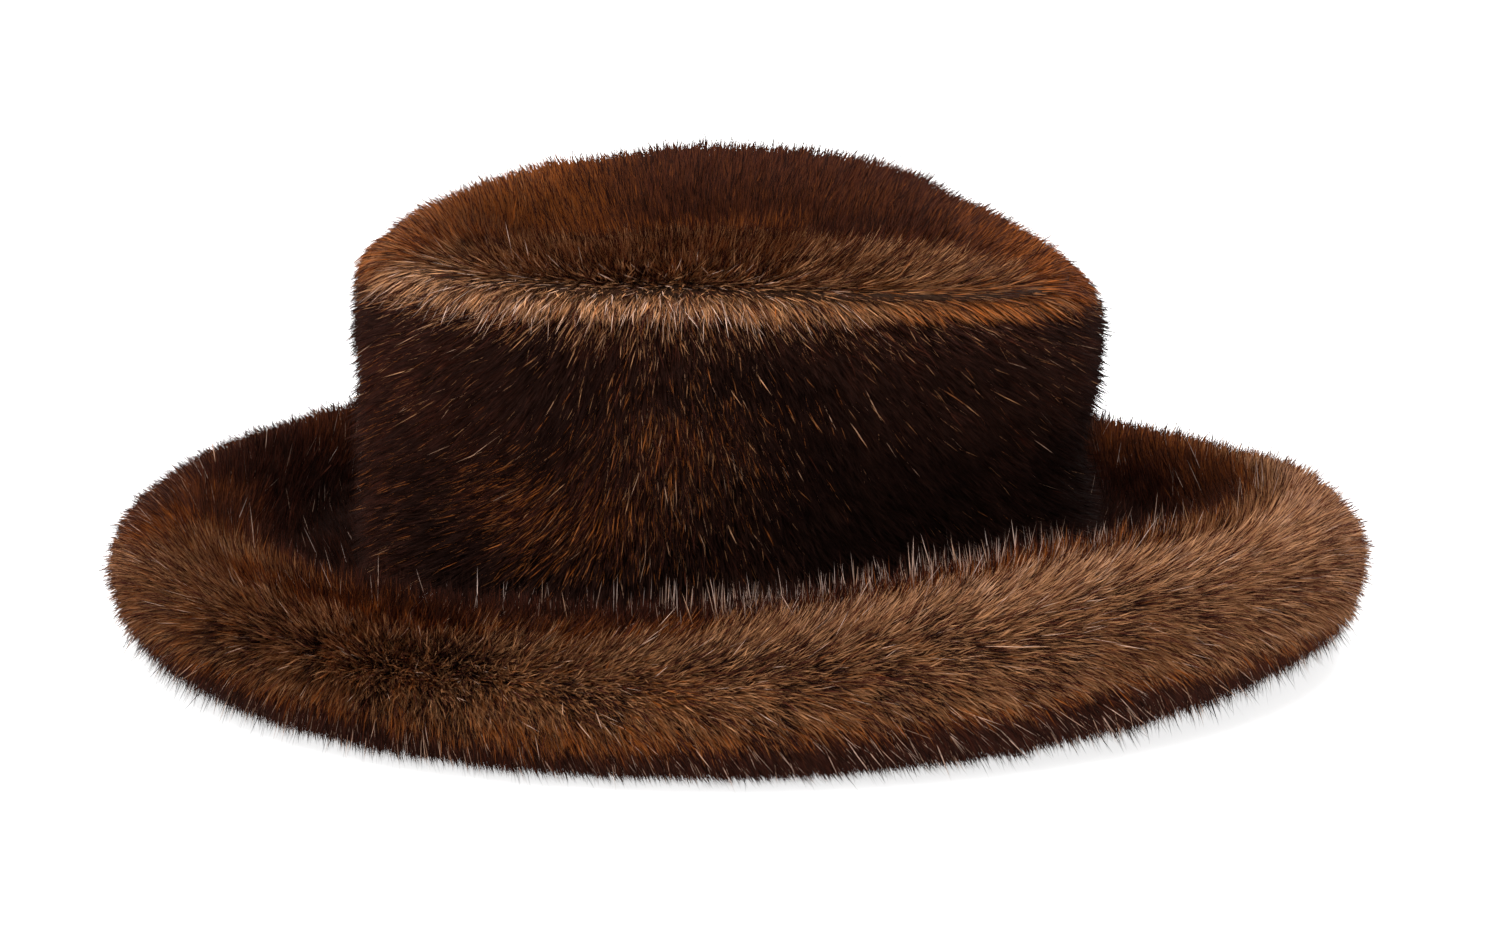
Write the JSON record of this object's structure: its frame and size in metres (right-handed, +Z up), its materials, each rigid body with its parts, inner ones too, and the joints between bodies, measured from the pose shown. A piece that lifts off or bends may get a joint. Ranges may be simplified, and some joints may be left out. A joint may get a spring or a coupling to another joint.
{
  "type": "fur hat",
  "caption": "Oval fur hat with a dented flat crown, an upright dark band and a wide round brim with a padded roll at its edge.",
  "frame": {"origin": "on the surface the hat stands on, under the middle of its box", "axes": "+X the long way of the head oval and of the brim, to the lower end of the crown; +Y to the hat's far long side; +Z up"},
  "size_m": [0.3636, 0.3472, 0.1322],
  "materials": {
    "tip_fur": "long glossy brown fur, orange-brown in the dent, tweedy with dark flecks at the rim",
    "band_fur": "long glossy near-black fur with brown patches and silvery guard hairs",
    "gutter_fur": "upright dark reddish brown fur with greyish tips",
    "roll_fur": "medium brown fur, lighter at the crest, dark reddish at the lower edge"
  },
  "bodies": {
    "root": {"crown_tip": "tip_fur", "crown_band": "band_fur", "brim_top": "gutter_fur", "brim_under": "roll_fur"}
  },
  "joints": []
}
